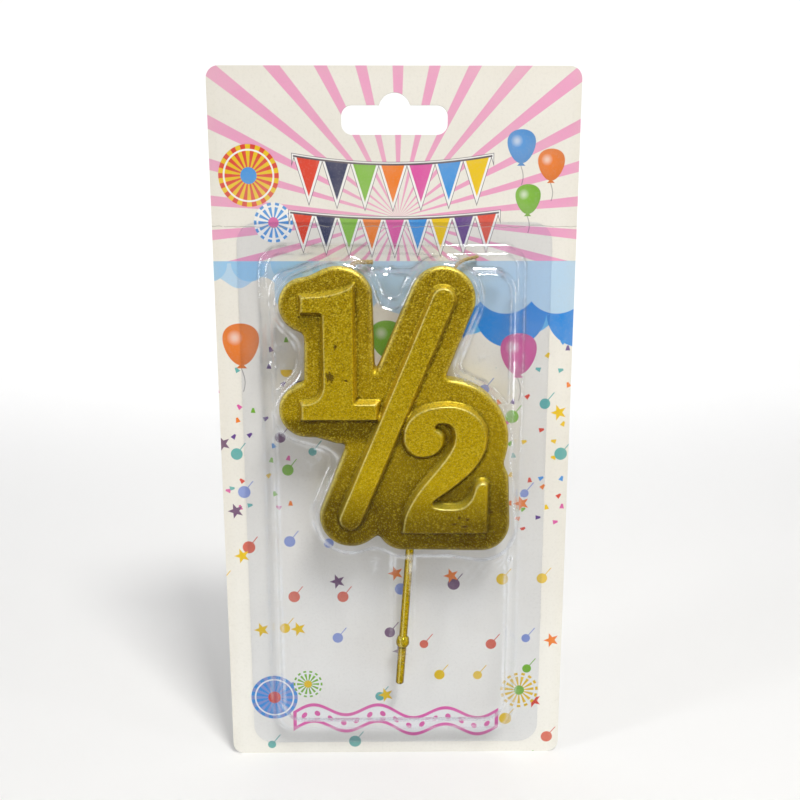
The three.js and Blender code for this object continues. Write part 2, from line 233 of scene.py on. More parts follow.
# Rows of pennants: the middle of the string, their number, pitch and depth, and the sag
PENNANTS = (((-0.5, -19.5), 7, 8.0, 10.5, 0.003), ((0.0, -34.5), 9, 6.6, 8.6, 0.002))
PENNANT_COLOURS = (RED, NAVY, GREEN, ORANGE, PINK, BLUE, YELLOW, PURPLE, RED)


def inked(distance):
    """The mask of a printed shape, from how far a point lies outside it."""
    return (0.5 - distance / EDGE).clamped()


def away(x, z):
    """The distance from the origin of a pair of signals."""
    return (x * x + z * z).math("SQRT")


def fan_rays(x, z, centre, count, share):
    """How far a point lies outside the nearest of a fan's rays, and how far from its centre."""
    dx, dz = x - centre[0], z - centre[1]
    turn = dx.math("ARCTAN2", dz)
    period = 2 * math.pi / count
    radius = away(dx, dz)
    return ((turn / period).math("PINGPONG", 0.5) - share / 2) * period * radius, radius


def pennants(x, z, centre, count, pitch, depth, sag):
    """How far a point lies outside hanging pennants and their string, and its share of the row."""
    along = (x - centre[0]) / pitch + count / 2
    line = centre[1] + (x - centre[0]) * (x - centre[0]) * sag
    below = line - z
    aside = abs(along.math("FRACT") - 0.5) * pitch
    side = (aside - (pitch * 0.42) * (1 - below / depth)) * 0.9
    ends = abs(x - centre[0]) - count * pitch / 2
    return side | -below | ends, abs(below) | ends, along / count


def puffs(x, z, level, radius, pitch, shift):
    """How far a point lies outside clouds that puff downwards from a level."""
    aside = (((x + shift) / pitch).math("FRACT") - 0.5) * pitch
    return (away(aside, z - level) - radius) & (level - z)


def scattered(flat, size, shift):
    """Cells with a random middle: the place from it in millimetres, and three random shares."""
    moved = flat.node("VectorMath", {"operation": "ADD"}, {0: flat, 1: (shift, shift, 0)})
    cell = moved.node(
        "TexVoronoi", {"voronoi_dimensions": "2D"},
        {"Vector": moved, "Scale": 1 / size, "Randomness": 0.8}).socket.node
    place = moved.node(
        "VectorMath", {"operation": "SUBTRACT"},
        {0: moved, 1: Signal(flat.tree, cell.outputs["Position"])})
    x, z, _ = parts_of(place)
    return x, z, parts_of(Signal(flat.tree, cell.outputs["Color"]), "Color")


def picked(share, *colours):
    """One of several colours, by a share from 0 to 1."""
    stops = [(i / len(colours), colour) for i, colour in enumerate(colours)]
    return share.node("ValToRGB", {"stops": ["CONSTANT", *stops]}, {0: share})


def star_distance(x, z, radius, turn):
    """How far a point lies outside a star of five points."""
    part = 2 * math.pi / 5
    angle = (z.math("ARCTAN2", x) + turn + 4 * math.pi) / part
    folded = angle.math("PINGPONG", 0.5) * part
    reach = away(x, z)
    notch = 0.42 * radius
    rise, run = notch * math.sin(part / 2), radius - notch * math.cos(part / 2)
    slant = math.hypot(rise, run)
    across = reach * folded.math("SINE")
    outward = reach * folded.math("COSINE") - radius
    return (outward * rise + across * run) / slant


def balloon(below, x, z, place, size, colour):
    """A colour with a balloon printed over it, with its knot, its string and its shine."""
    dx, dz = (x - place[0]) / size, (z - place[1]) / size
    pull = dx * (1.0 - dz * 0.22)
    shape = (away(pull, dz * 0.84) - 1) * size
    curl = dx * size - ((dz * 2.2).math("SINE") * 0.16 * size)
    string = abs(curl) - 0.13 | (dz * size + 1.1 * size) | (-2.7 * size - dz * size)
    knot = abs(dx) * size - (-1.05 - dz) * size | (-1.36 - dz) * size
    shine = away(dx + 0.34, dz - 0.38) * 2.6 - 0.2
    light = (1 - shine).clamped() * 0.55
    shade = (away(dx + 0.2, dz - 0.25) * 0.32).clamped()
    skin = over(over(colour, INK, shade * 0.5), WHITE, light)
    return over(over(below, INK, inked(string) * 0.6), skin, inked(shape & knot))


def rosette(below, x, z, place, radius, pleats, colours):
    """A colour with a pleated paper rosette printed over it."""
    rays, reach = fan_rays(x, z, place, pleats, 0.5)
    pleated = over(colours[0], colours[1], inked(rays))
    ringed = over(pleated, WHITE, inked(abs(reach - 0.82 * radius) - 0.25))
    whole = over(below, ringed, inked(reach - radius))
    return over(whole, colours[2], inked(reach - 0.27 * radius))


def with_sky(base, x, z):
    """A colour with four rows of clouds printed over it, that puff downwards."""
    sky = inked(z - HEADER_FOOT)
    middle = inked(puffs(x, z, -58.5, 9.2, 17.5, 40.0))
    right = inked(9.0 - x + (z * 0.35).math("SINE") * 2.0)
    base = over(base, SKY, middle & sky & right)
    deep = inked(puffs(x, z, -61.0, 10.5, 21.0, 18.5))
    base = over(base, DEEP_SKY, deep & sky & inked(20.0 - x) & inked(z + 57.0))
    pale = inked(puffs(x, z, -52.0, 9.6, 15.0, 5.0))
    narrow = inked(-52.5 - z + (x * 0.45).math("SINE") * 1.6) | inked(-35.0 - x)
    base = over(base, PALE_SKY, pale & sky & narrow)
    upper = inked(puffs(x, z, -47.0, 5.2, 11.5, 2.0))
    return over(base, UPPER_SKY, upper & sky & inked(x + 22.0))


def with_confetti(base, flat, x, z):
    """A colour with confetti at its sides, and dots with tails and stars on its lower part."""
    sides = inked(30.0 - abs(x)) & inked(z + 66.0) & inked(-128.0 - z)
    cx, cz, (kind, hue, chance) = scattered(flat, 5.2, 3.0)
    slant = kind * 3.0
    leaning = cx * slant.math("COSINE") + cz * slant.math("SINE")
    rising = cz * slant.math("COSINE") - cx * slant.math("SINE")
    bits = (abs(leaning) - 0.75) | (abs(rising) - 0.5 + leaning * 0.3)
    bit_colour = picked(hue, RED, BLUE, GREEN, YELLOW, PINK, TEAL, ORANGE, PURPLE)
    base = over(base, bit_colour, inked(bits) & (chance < 0.62) & sides)

    low = inked(z + 78.0)
    dx, dz, (kind, hue, chance) = scattered(flat, 16.0, 41.0)
    spot = away(dx, dz) - (1.25 + kind * 0.75)
    tail = abs(dx - dz * 0.8) * 0.78 - 0.14 | (-dz) | (dz - 3.4)
    dots = inked(spot & tail) & (chance < 0.82) & low
    base = over(base, picked(hue, TEAL, CORAL, LILAC, PLUM, YELLOW, GREEN), dots)

    sx, sz, (_, hue, chance) = scattered(flat, 23.0, 12.0)
    stars = inked(star_distance(sx, sz, 2.5, 0.6)) & (chance < 0.7) & low
    return over(base, picked(hue, GREEN, PLUM, ORANGE, RED, YELLOW, PINK), stars)


def with_figures(base, x, z):
    """A colour with the rosettes, the balloons and the rows of pennants printed over it."""
    for place, radius, pleats, colours in ROSETTES:
        base = rosette(base, x, z, place, radius, pleats, colours)
    for place, size, colour in BALLOONS:
        base = balloon(base, x, z, place, size, colour)
    for centre, count, pitch, depth, sag in PENNANTS:
        shape, string, share = pennants(x, z, centre, count, pitch, depth, sag)
        base = over(base, INK, inked(shape - 0.75))
        base = over(base, WHITE, inked(shape - 0.6))
        base = over(base, picked(share, *PENNANT_COLOURS[:count]), inked(shape))
        base = over(base, INK, inked(string - 0.25))
    return base


def with_ribbon(base, x, z):
    """A colour with a wavy, spotted ribbon printed over it, along the foot of the card."""
    wave = z + 191.5 + (x / 3.4).math("SINE") * 1.9 + (x / 11.0).math("SINE") * 0.8
    ends = abs(x) - 33.0
    base = over(base, RIBBON, inked(abs(wave) - 3.4 | ends))
    base = over(base, WHITE, inked(abs(wave) - 2.3 | (ends + 1.1)))
    spots = away((x / 4.2).math("PINGPONG", 0.5) * 4.2, wave) - 0.9
    return over(base, RIBBON, inked(spots) & inked(ends + 2.5))


def card_print():
    """The card's coated, printed front and its bare back."""
    material, start, feed = finish("printed_card")
    place = position_of(start)
    x, y, z = parts_of(place)
    flat = start.node("CombineXYZ", None, {0: x, 1: z})

    paper = over(CARD, LOW_CARD, ((-100.0 - z) / 80.0).clamped())
    rays, _ = fan_rays(x / FAN_STRETCH, z, FAN_CENTRE, FAN_COUNT, FAN_SHARE)
    base = over(paper, RAY, inked(rays) & inked(HEADER_FOOT - z))
    base = with_sky(base, x, z)
    base = with_confetti(base, flat, x, z)
    base = with_figures(base, x, z)
    base = with_ribbon(base, x, z)

    # Wear: soiled edges, uneven whiteness, a crease under the header and the paper's grain
    edge = (abs(x) - 49.0) * 0.18 | (z - 3.0) * 0.12
    worn = (edge * cloudy(place, 0.45, 3.0)).clamped() * 0.35
    base = over(base, SOIL, worn)
    base = over(base, STAIN, (cloudy(place, 0.05, 5.0) - 0.42) * 0.6 & 0.25)
    drift = cloudy(place, 0.11, 3.0) * 3.0 + z + 35.2
    crease = inked(abs(drift) - 0.1) * (cloudy(place, 0.2) > 0.42)
    base = over(base, CREASE, crease * 0.7)
    fibres = cloudy(place, 1.3, 6.0)
    base = over(base, GRAIN, (fibres - 0.5).clamped() * 0.5)
    # Painted shade: the card darker towards its top
    base = over(base, SHADE, ((z + 80.0) / 70.0).clamped() * 0.15)

    back = y > CARD_THICKNESS * 0.5
    feed("Base Color", over(base, over(BOARD, BOARD_FIBRE, fibres), back))
    feed("Roughness", 0.42 + fibres * 0.12 + back * 0.35)
    relief = fibres * 0.3 - crease * 1.5 + cloudy(place, 0.07, 1.0) * 2.0
    feed("Normal", bumped(start, relief, 0.35, 0.12))
    feed("Specular IOR Level", 0.4)
    return material


# Gold paint on wax, and on the pick

GOLD, UPPER_GOLD, SHADED_GOLD = paint(214, 180, 0), paint(202, 168, 16), paint(92, 70, 0)
SHADED_HOLLOW_GOLD, PAINTED_UNDERSIDE_SHADE, PAINTED_TOP_LIGHT = paint(150, 118, 24), paint(84, 60, 4), paint(255, 236, 80)
PAINTED_CREST_HIGHLIGHT, PAINTED_CREASE_SHADE, PAINTED_RIM_HIGHLIGHT = paint(255, 242, 150), paint(70, 50, 0), paint(230, 212, 122)
GLINTING_FLAKE, DARK_FLAKE = paint(250, 224, 70), paint(104, 80, 8)
PICK_SIDE_SHADE, PICK_FRONT_HIGHLIGHT, FLAW = paint(88, 66, 4), paint(255, 240, 150), paint(84, 58, 18)

# Flaws in the paint: X, Z, half width and half height
FLAWS = ((-18.3, -78.6, 1.2, 1.5), (-13.8, -79.7, 0.6, 0.5), (-16.5, -70.2, 0.5, 0.5),
         (17.0, -121.8, 0.7, 0.4), (18.6, -119.8, 0.5, 0.6), (20.0, -122.4, 0.8, 0.45),
         (20.8, -120.4, 0.5, 0.5), (28.0, -119.0, 0.9, 0.35), (-27.0, -62.0, 0.4, 0.35))


def flaw_depth(x, z, grain):
    """How deep a point lies in a flaw of the paint, under 0 outside them all."""
    deepest = None
    for at_x, at_z, half_width, half_height in FLAWS:
        depth = 1 - away((x - at_x) / half_width, (z - at_z) / half_height) * grain * 1.8
        deepest = depth if deepest is None else deepest | depth
    return deepest


def gold_paint(name, coarse, gloss):
    """Metallic flake paint: coarse flakes and a browner tone on the upper part, smoother below."""
    material, start, feed = finish(name)
    place = position_of(start)
    x, y, z = parts_of(place)
    upper = ((z + 118.0) / 62.0).clamped() * coarse
    flake_colour = start.node(
        "TexVoronoi", None, {"Vector": place, "Scale": 3.0}, output="Color")
    flakes, tilt, _ = parts_of(flake_colour, "Color")
    grain = cloudy(place, 1.9, 1.0)
    patches = cloudy(place, 0.16, 4.0)
    colour = over(GOLD, UPPER_GOLD, upper)

    # Painted shade: darker low down, round the raised figures, in a painted shadow under the foot
    # of the "1" and on undersides, and painted light on the tops
    hollow = (y + 11.2).clamped()
    low_shade = ((-92.0 - z) / 26.0).clamped() * hollow | ((-109.0 - z) / 13.0).clamped() * 0.95
    # Painted shade on the recessed plaque round the raised figures, and darker low down
    colour = over(colour, SHADED_HOLLOW_GOLD, hollow * upper * 0.35)
    colour = over(colour, SHADED_GOLD, low_shade * coarse * (patches * 0.5 + 0.65))
    # A painted shadow on the plaque just under the foot of the "1"
    foot_shadow_band = ((-90.5 - z) / 1.5).clamped() & ((z + 99.5) / 3.0).clamped()
    foot_shadow = foot_shadow_band & ((-1.0 - x) / 3.0).clamped()
    colour = over(colour, SHADED_GOLD, foot_shadow * hollow * coarse * 0.7)
    lean, _, rise = parts_of(start.node("TexCoord", output="Normal"))
    # Painted shade on undersides and painted light on tops, by which way the surface faces
    colour = over(colour, PAINTED_UNDERSIDE_SHADE, (rise * -1.3 - 0.05).clamped() * 0.85)
    colour = over(colour, PAINTED_TOP_LIGHT, (rise * 1.1 - 0.1).clamped() * 0.75)

    # Painted highlights on crests where they look up or left, painted shade in creases, and a
    # painted highlight along the rim
    crest = start.node("Attribute", {"attribute_name": "crest"}, output="Fac")
    lit = (rise * 1.5 - lean * 0.9 + 0.25).clamped()
    colour = over(colour, PAINTED_CREST_HIGHLIGHT, (crest * 1.7 - 0.5).clamped() * lit * (patches + 0.25))
    colour = over(colour, PAINTED_CREASE_SHADE, (crest * -1.6 - 0.5).clamped() * (0.8 - lit * 0.5))
    rim_highlight = (crest * 1.8 - 0.5).clamped() * ((y + 9.7) / 0.3).clamped()
    colour = over(colour, PAINTED_RIM_HIGHLIGHT, rim_highlight * 0.5)

    # Flakes of random tone; the bright ones are also a painted glint
    colour = over(colour, GLINTING_FLAKE, (flakes - 0.7) * (1.1 + upper * 1.5) & 0.8 | 0.0)
    colour = over(colour, DARK_FLAKE, (0.4 - flakes) * (0.8 + upper * 1.0) | 0.0)
    # Painted shade at the sides of a glossy pick and a painted highlight along its front
    colour = over(colour, PICK_SIDE_SHADE, ((abs(lean) - 0.55) * 2.2).clamped() * 0.75 * gloss)
    colour = over(colour, PICK_FRONT_HIGHLIGHT, (1 - abs(lean + 0.28) * 4.0).clamped() * 0.6 * gloss)

    flaw = flaw_depth(x, z, grain)
    feed("Base Color", over(colour, FLAW, (flaw * 2.0).clamped() * 0.8))
    feed("Metallic", 0.6 + gloss * 0.25)
    feed("Specular IOR Level", 0.15)
    feed("Roughness", 0.4 - gloss * 0.18 + tilt * 0.14 - patches * 0.06)
    relief = grain * (0.3 + upper * 0.35) + cloudy(place, 0.22, 2.0) * 2.0
    feed("Normal", bumped(start, relief - (flaw * 3.0).clamped() * 2.0, 0.7, 0.12))
    return material


def wick_cotton():
    """Waxed cotton, darker in a noise that is fibre tone and painted shade between its fibres."""
    material, start, feed = finish("wick_cotton")
    fibres = cloudy(position_of(start), 4.0, 4.0)
    # Fibre tone and painted shade between the fibres, as noise
    feed("Base Color", over(paint(214, 190, 124), paint(138, 108, 48), fibres * 0.8))
    feed("Roughness", 0.62 + fibres * 0.25)
    feed("Normal", bumped(start, fibres, 0.5, 0.08))
    feed("Sheen Weight", 0.25)
    return material


def clear_sheet():
    """Clear formed sheet, more of a mirror where it turns away and at its bends."""
    material, start, feed = finish("clear_sheet")
    tree = start.tree
    place = position_of(start)
    haze = cloudy(place, 0.9, 5.0)
    normal = bumped(start, cloudy(place, 0.07, 3.0) * 4.0 + haze * 0.12, 0.5, 0.14)
    feed("Base Color", paint(244, 247, 250))
    feed("Metallic", 1.0)
    feed("Roughness", 0.06 + haze * 0.08)
    feed("Normal", normal)
    film = start.node("BsdfTransparent", None, {0: (0.961, 0.967, 0.984, 1.0)})
    facing = start.node("LayerWeight", None, {"Blend": 0.5, "Normal": normal}, "Facing")
    bend = start.node("Attribute", {"attribute_name": "bend"}, output="Fac")
    broken = (cloudy(place, 0.3, 3.0) * 3.4 - 1.35).clamped()
    mirror = facing.math("POWER", 4.0) * 0.45 + 0.003 + bend * (broken * 0.42 + 0.07)
    shine = Signal(tree, node_of(tree, "BSDF_PRINCIPLED").outputs[0])
    mixed = start.node("MixShader", None, {0: mirror, 1: film, 2: shine})
    tree.links.new(mixed.socket, node_of(tree, "OUTPUT_MATERIAL").inputs["Surface"])
    return material


# Meshes

def mesh_piece(name, points, faces, material):
    """A smooth piece from points in millimetres."""
    mesh = bpy.data.meshes.new(name)
    mesh.from_pydata([tuple(p) for p in np.asarray(points) * MM], [], faces)
    mesh.validate()
    piece = bpy.data.objects.new(name, mesh)
    SCENE.collection.objects.link(piece)
    mesh.materials.append(material)
    mesh.shade_smooth()
    return piece


def settle(piece):
    """Turns a piece's modifiers into its plain mesh."""
    graph = bpy.context.evaluated_depsgraph_get()
    made = bpy.data.meshes.new_from_object(piece.evaluated_get(graph))
    made.name = piece.name
    piece.modifiers.clear()
    piece.data = made
    return piece


def merge_close(mesh, distance, outwards=False):
    """Merges points closer than a distance in millimetres, and may turn the faces outwards."""
    shape = bmesh.new()
    shape.from_mesh(mesh)
    bmesh.ops.remove_doubles(shape, verts=shape.verts, dist=distance * MM)
    if outwards:
        bmesh.ops.recalc_face_normals(shape, faces=shape.faces)
    shape.to_mesh(mesh)
    shape.free()
    mesh.update()


def vertex_data(mesh, name):
    """A mesh's points or normals as rows of three numbers."""
    values = np.empty(len(mesh.vertices) * 3, np.float32)
    mesh.vertices.foreach_get(name, values)
    return values.reshape(-1, 3).astype(float)


def stroke_distance(x, z, start, end, radius):
    """How far points lie outside a straight stroke with round ends."""
    run, rise = end[0] - start[0], end[1] - start[1]
    length = run * run + rise * rise
    share = ((x - start[0]) * run + (z - start[1]) * rise) / length if length else 0.0
    share = np.clip(share, 0, 1)
    return np.hypot(x - start[0] - share * run, z - start[1] - share * rise) - radius


def soft_join(a, b, fillet):
    """The lower of two fields, with a fillet where they meet."""
    return np.minimum(a, b) - np.maximum(fillet - np.abs(a - b), 0) ** 2 / (4 * fillet)


def soft_peak(a, b, fillet):
    """The higher of two fields, with a fillet where they meet."""
    return np.maximum(a, b) + np.maximum(fillet - np.abs(a - b), 0) ** 2 / (4 * fillet)


def box_distance(x, z, centre, bottom, width, height, corner):
    """How far points lie outside a rectangle with round corners."""
    out_x = np.abs(x - centre) - width / 2 + corner
    out_z = np.abs(z - bottom - height / 2) - height / 2 + corner
    outside = np.hypot(np.maximum(out_x, 0), np.maximum(out_z, 0))
    return outside + np.minimum(np.maximum(out_x, out_z), 0) - corner


# A step's wall goes on this far outwards, and its shoulder has this many facets
FOOT_REACH, SHOULDER_STEPS = 6.0, 8


def formed_wall(distance, rise, draft, bend):
    """The height of a formed step: a leaning wall and a rounded shoulder round a flat top."""
    slope = math.atan2(rise, draft)
    tangent = bend * math.tan(slope / 2)
    foot = (draft - tangent * math.cos(slope), rise - tangent * math.sin(slope))
    depths = [-FOOT_REACH, foot[0]]
    heights = [foot[1] - (foot[0] + FOOT_REACH) * math.tan(slope), foot[1]]
    for i in range(1, SHOULDER_STEPS + 1):
        angle = slope * (1 - i / SHOULDER_STEPS)
        depths.append(draft + tangent - bend * math.sin(angle))
        heights.append(rise - bend * (1 - math.cos(angle)))
    return np.interp(-distance, depths, heights)


# Strokes of the plaque's outline, from its lower edge up: two ends and a radius
SLASH_FOOT, SLASH_HEAD, SLASH_RADIUS = (-13.0, 10.5), (13.4, 73.7), 9.4
PLAQUE_STROKES = (
    ((-15.9, 42.15), (-15.9, 73.2), 9.9),
    ((-25.0, 72.2), (-15.9, 72.2), 7.9),
    ((-25.5, 42.15), (-5.3, 42.15), 7.95),
    (SLASH_FOOT, SLASH_HEAD, SLASH_RADIUS),
    ((15.073, 33.256), (15.073, 33.256), 17.868),
    ((2.3, 8.0), (25.4, 8.0), 8.0),
    ((25.4, 8.0), (25.4, 20.4), 8.0),
)

# The blister's pocket follows the strokes and bridges the notch between "1" and slash
NOTCH_BRIDGE = ((-2.7, 55.2), (-2.7, 67.2), 3.0)
POCKET_MARGIN, POCKET_FILLET = 3.0, 5.0
CHANNEL_X = 2.2
CHANNEL = ((CHANNEL_X, -31.3), (CHANNEL_X, 8.0), 4.3)

# Trays: middle, bottom, width, height and corner
LOW_TRAY = (-0.7, -194.5, 77.5, 152.7, 7.0)
HIGH_TRAY = (-0.7, -189.2, 71.5, 141.0, 7.5)

# Formed steps: rise, draft, bend of the shoulder and fillet at the foot
LOW_STEP, HIGH_STEP = (4.0, 2.5, 1.2, 1.2), (7.5, 1.5, 1.2, 2.6)
CHANNEL_STEP, POCKET_STEP = (9.0, 1.4, 1.0, 1.2), (ROOF - 0.1, 2.2, 1.2, 4.0)

# The sheet's sag and ripples, and the height above which it has them
SAG, RIPPLE, UNEVEN_ABOVE = 0.05, 0.16, 3

# Steps of the blister's mesh, on its flat edges, on its forms and on the plain lower tray, and
# where they change
EDGE_STEP, FORM_STEP, TRAY_STEP = 1.1, 0.5, 1.3
FORMS_LEFT, FORMS_RIGHT, FORMS_BOTTOM, FORMS_TOP = -40.2, 38.8, -195.5, -40.5
PLAIN_BOTTOM, PLAIN_TOP = -184.5, -136.0

# The narrow channel is pulled smooth: its half width, its ends and the share of its shine
SMOOTH_HALF, SMOOTH_BOTTOM, SMOOTH_TOP, SMOOTH_SHARE = 8, -180, -138, 0.3


def plaque_distance(x, z, strokes, fillet):
    """How far points lie outside the joined strokes, and how deep they lie in a hollow corner."""
    up = z - CANDLE_BOTTOM
    distance = sharp = stroke_distance(x, up, *strokes[0])
    for stroke in strokes[1:]:
        apart = stroke_distance(x, up, *stroke)
        distance = soft_join(distance, apart, fillet)
        sharp = np.minimum(sharp, apart)
    return distance, sharp - distance


def grid_lines(*spans):
    """Grid lines from (start, end, step) spans that follow each other."""
    lines = [
        np.linspace(start, end, max(2, round((end - start) / step) + 1))[:-1]
        for start, end, step in spans]
    return np.concatenate([*lines, [spans[-1][1]]])


def blister_heights(x, z):
    """Height of the blister's outer face above the card."""
    pocket, hollow = plaque_distance(x, z, (*PLAQUE_STROKES, NOTCH_BRIDGE), POCKET_FILLET)
    pocket = pocket - POCKET_MARGIN
    height = np.full_like(x, SEAL_GAP + SHEET)
    for outside, (rise, draft, bend, fillet) in (
            (box_distance(x, z, *LOW_TRAY), LOW_STEP),
            (box_distance(x, z, *HIGH_TRAY), HIGH_STEP),
            (stroke_distance(x, z - CANDLE_BOTTOM, *CHANNEL), CHANNEL_STEP),
            (pocket, POCKET_STEP)):
        height = soft_peak(height, formed_wall(outside, rise, draft, bend), fillet)

    # The sheet sags a little, and ripples in the hollow corners beside the pocket
    sag = SAG * (np.sin(x / 4.1 + z / 7.3) + np.sin(z / 5.2 - x / 9.0) - 2)
    web = np.clip(hollow / 1.2, 0, 1) * np.exp(-((pocket - 3.0) / 3.2) ** 2)
    waves = np.sin(pocket * 3.1 + np.sin(x / 2.3)) + np.sin(x / 0.9 - z / 1.3) - 2
    uneven = sag + RIPPLE * web * waves
    return np.minimum(height + np.where(height > UNEVEN_ABOVE, uneven, 0), ROOF)


def sheet_bend(heights, rows, columns):
    """How sharply the sheet bends, from 0 to 1 at its tightest shoulders."""
    rise = np.stack([*np.gradient(heights, rows, columns), np.ones_like(heights)])
    normal = rise / np.linalg.norm(rise, axis=0)
    turns = [np.gradient(part) for part in normal]
    turning = np.sqrt(sum(along ** 2 + across ** 2 for along, across in turns))
    return np.clip(turning / 0.42 - 0.12, 0, 1) ** 1.5


def blister_piece(material):
    """The formed sheet: a grid pulled in at the flange's corners, raised, and given its wall."""
    half = FLANGE_WIDTH / 2
    top = FLANGE_BOTTOM + FLANGE_HEIGHT
    columns = grid_lines(
        (-half, FORMS_LEFT, EDGE_STEP), (FORMS_LEFT, FORMS_RIGHT, FORM_STEP),
        (FORMS_RIGHT, half, EDGE_STEP))
    rows = grid_lines(
        (FLANGE_BOTTOM, FORMS_BOTTOM, EDGE_STEP), (FORMS_BOTTOM, PLAIN_BOTTOM, FORM_STEP),
        (PLAIN_BOTTOM, PLAIN_TOP, TRAY_STEP), (PLAIN_TOP, FORMS_TOP, FORM_STEP),
        (FORMS_TOP, top, EDGE_STEP))
    x, z = np.meshgrid(columns, rows)
    corner_x = np.clip(x, FLANGE_CORNER - half, half - FLANGE_CORNER)
    corner_z = np.clip(z, FLANGE_BOTTOM + FLANGE_CORNER, top - FLANGE_CORNER)
    reach = np.hypot(x - corner_x, z - corner_z)
    pull = np.where(reach > FLANGE_CORNER, FLANGE_CORNER / np.maximum(reach, 1e-6), 1.0)
    x, z = corner_x + (x - corner_x) * pull, corner_z + (z - corner_z) * pull
    heights = blister_heights(x, z)
    points = np.stack([x, -heights, z], -1).reshape(-1, 3)
    across = len(columns)
    faces = [
        (a, a + 1, a + 1 + across, a + across)
        for row in range(len(rows) - 1)
        for a in range(row * across, (row + 1) * across - 1)]
    piece = mesh_piece("clear_blister", points, faces, material)
    bends = sheet_bend(heights, rows, columns)
    by_the_pick = (np.abs(x - CHANNEL_X) < SMOOTH_HALF) & (z < SMOOTH_TOP) & (z > SMOOTH_BOTTOM)
    bends *= np.where(by_the_pick, SMOOTH_SHARE, 1.0)
    bend = piece.data.attributes.new("bend", "FLOAT", "POINT")
    bend.data.foreach_set("value", bends.astype(np.float32).ravel())
    merge_close(piece.data, 0.01)
    wall = piece.modifiers.new("wall", "SOLIDIFY")
    wall.thickness = SHEET * MM
    wall.offset = -1
    return settle(piece)


# The wax: its remeshed faces, its softening, the swells of its skin as scale and depth, and the
# height of its sharpest crests
VOXEL, SOFTEN_SHARE, SOFTEN_TIMES = 0.39, 0.5, 2
SWELLS = ((160, 0.09), (520, 0.03))
CREST_HEIGHT = 0.06


def crests(mesh, points, normals):
    """How far each point stands proud of those about it, under 0 in a crease."""
    ends = np.empty(len(mesh.edges) * 2, np.int32)
    mesh.edges.foreach_get("vertices", ends)
    first, second = ends.reshape(-1, 2).T
    count = np.bincount(ends, minlength=len(points))[:, None]

    def averaged(values):
        total = np.zeros_like(values)
        np.add.at(total, first, values[second])
        np.add.at(total, second, values[first])
        return total / count

    proud = (points - averaged(averaged(points))) * normals
    return averaged(proud.sum(1, keepdims=True))[:, 0] / (CREST_HEIGHT * MM)


def wax_piece(material):
    """The casting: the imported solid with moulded, softened edges and an uneven painted skin."""
    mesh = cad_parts["wax_body"].data.copy()
    mesh.name = "gold_candle"
    merge_close(mesh, 0.002)
    mesh.materials.clear()
    mesh.materials.append(material)
    piece = bpy.data.objects.new("gold_candle", mesh)
    SCENE.collection.objects.link(piece)
    remesh = piece.modifiers.new("skin", "REMESH")
    remesh.mode = "VOXEL"
    remesh.voxel_size = VOXEL * MM
    remesh.use_smooth_shade = True
    soften = piece.modifiers.new("soften", "SMOOTH")
    soften.factor = SOFTEN_SHARE
    soften.iterations = SOFTEN_TIMES
    settle(piece)
    points, normals = vertex_data(piece.data, "co"), vertex_data(piece.data, "normal")
    swell = np.array([
        sum(noise.noise(Vector(p) * scale) * depth for scale, depth in SWELLS) for p in points])
    low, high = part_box("wax_body")
    moved = np.clip(points + normals * swell[:, None] * MM, low, high)
    piece.data.vertices.foreach_set("co", moved.astype(np.float32).ravel())
    piece.data.update()
    piece.data.shade_smooth()
    crest = piece.data.attributes.new("crest", "FLOAT", "POINT")
    crest.data.foreach_set("value", crests(piece.data, points, normals).astype(np.float32))
    return piece


def wick_path(points):
    """A wick's path as a curve object, from its end in the wax to its free end."""
    curve = bpy.data.curves.new("wick_path", "CURVE")
    curve.dimensions = "3D"
    spline = curve.splines.new("NURBS")
    spline.points.add(len(points) - 1)
    for point, (x, up, height) in zip(spline.points, points):
        point.co = (x * MM, -height * MM, (CANDLE_BOTTOM + up) * MM, 1)
    spline.use_endpoint_u = True
    spline.order_u = 3
    spline.resolution_u = 8
    path = bpy.data.objects.new("wick_path", curve)
    SCENE.collection.objects.link(path)
    return path


